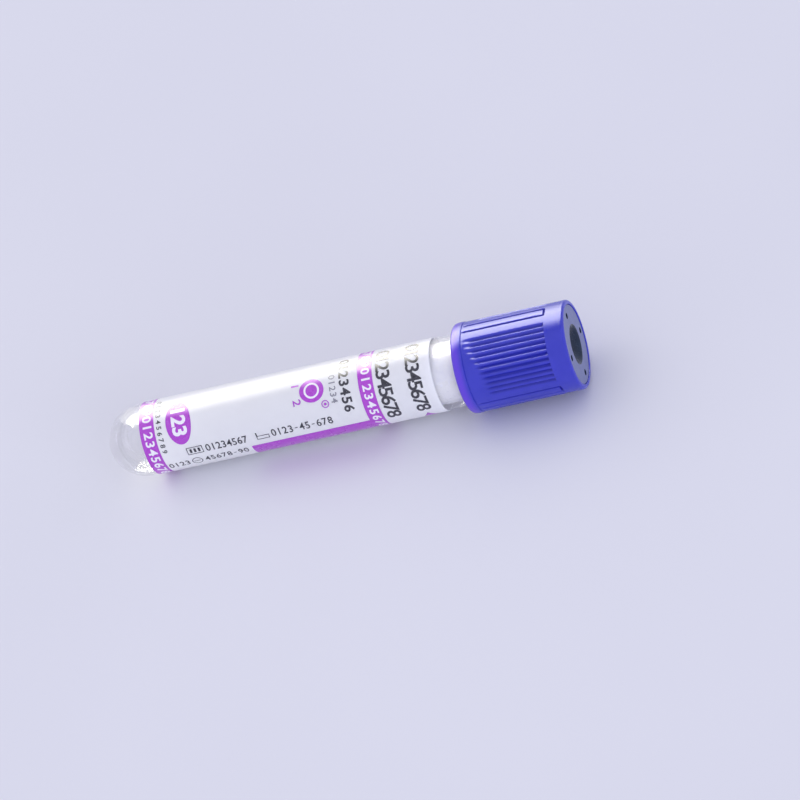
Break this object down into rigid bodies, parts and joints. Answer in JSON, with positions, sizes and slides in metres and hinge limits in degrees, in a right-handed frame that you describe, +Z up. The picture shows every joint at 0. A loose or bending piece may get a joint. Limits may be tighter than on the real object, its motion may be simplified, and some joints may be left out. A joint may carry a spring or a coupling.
{
  "type": "blood collection tube",
  "caption": "Evacuated blood collection tube lying on its side: clear round-bottomed tube, wrapped label and push-on cap with a rubber stopper.",
  "frame": {"origin": "centre of the footprint, on the surface that the tube lies on", "axes": "+X along the tube towards its cap, +Z up; the tube's own axis rises by about 1.5 degrees towards the cap"},
  "size_m": [0.085, 0.0156, 0.0161],
  "materials": {
    "clear_plastic": "clear, polished, moulded",
    "label_film": "white printed film, satin",
    "dried_additive": "clear dried drops",
    "cap_plastic": "violet blue, satin, moulded",
    "stopper_rubber": "grey, smooth"
  },
  "bodies": {
    "tube": {"tube": "clear_plastic", "label": "label_film", "additive": "dried_additive"},
    "closure": {"cap": "cap_plastic", "stopper": "stopper_rubber"}
  },
  "joints": [
    {"name": "cap_pull", "type": "slide", "parent": "tube", "child": "closure", "axis": [0.9996, 0, 0.0269], "range_m": [0, 0.025]}
  ]
}
